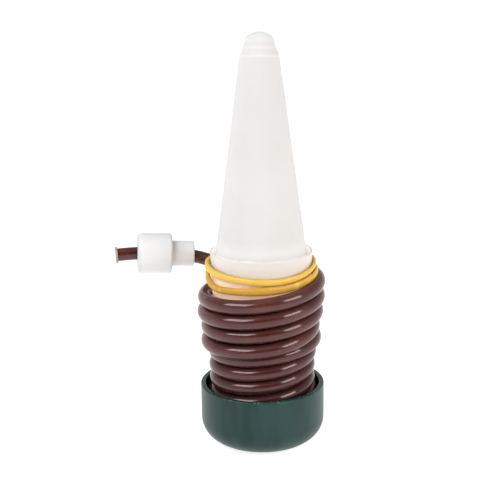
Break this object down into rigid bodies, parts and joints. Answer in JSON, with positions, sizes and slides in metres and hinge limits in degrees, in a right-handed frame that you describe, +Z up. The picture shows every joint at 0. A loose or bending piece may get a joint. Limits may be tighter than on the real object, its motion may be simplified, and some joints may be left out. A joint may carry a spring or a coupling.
{
  "type": "self watering spike",
  "caption": "Hollow ceramic cone in a plastic barrel with a thin tube wound round it, standing tip up in its screw cap.",
  "frame": {"origin": "middle of the cap's flat foot, on the surface that the spike stands on", "axes": "+Z up along the cone to its tip, -Y the front seen in the picture, -X where the tube's free end points"},
  "size_m": [0.0827, 0.0519, 0.1564],
  "materials": {
    "screw_cap": "smooth dark green moulded plastic",
    "cap_gasket": "black sealing rubber",
    "barrel": "milky translucent polyethylene",
    "ceramic_cone": "unglazed white fired clay",
    "cone_seal_ring": "pale sealing rubber",
    "hose_elbow": "black nylon",
    "tube_coil": "glossy brown soft PVC",
    "tube_lead": "glossy brown soft PVC",
    "tube_weight": "white moulded plastic",
    "tube_end_ferrule": "tan-grey moulded plastic",
    "rubber_band": "amber latex rubber"
  },
  "bodies": {
    "cap": {"screw_cap": "screw_cap"},
    "seal": {"cap_gasket": "cap_gasket"},
    "spike": {"barrel": "barrel", "ceramic_cone": "ceramic_cone", "cone_seal_ring": "cone_seal_ring", "hose_elbow": "hose_elbow", "tube_coil": "tube_coil", "tube_lead": "tube_lead", "tube_end_ferrule": "tube_end_ferrule", "rubber_band": "rubber_band"},
    "weight": {"tube_weight": "tube_weight"}
  },
  "joints": [
    {"name": "spike_twist", "type": "hinge", "parent": "cap", "child": "seal", "pos_m": [0, 0, 0], "axis": [0, 0, 1], "range_deg": [0, 2880]},
    {"name": "spike_lift", "type": "slide", "parent": "seal", "child": "spike", "axis": [0, 0, 1], "range_m": [0, 0.02]},
    {"name": "weight_slide", "type": "slide", "parent": "spike", "child": "weight", "axis": [-0.9877, -0.1476, 0.0523], "range_m": [0, 0.007]}
  ],
  "couplings": [
    {"joint": "spike_lift", "follows": "spike_twist", "m_per_rad": 0.00039788}
  ]
}
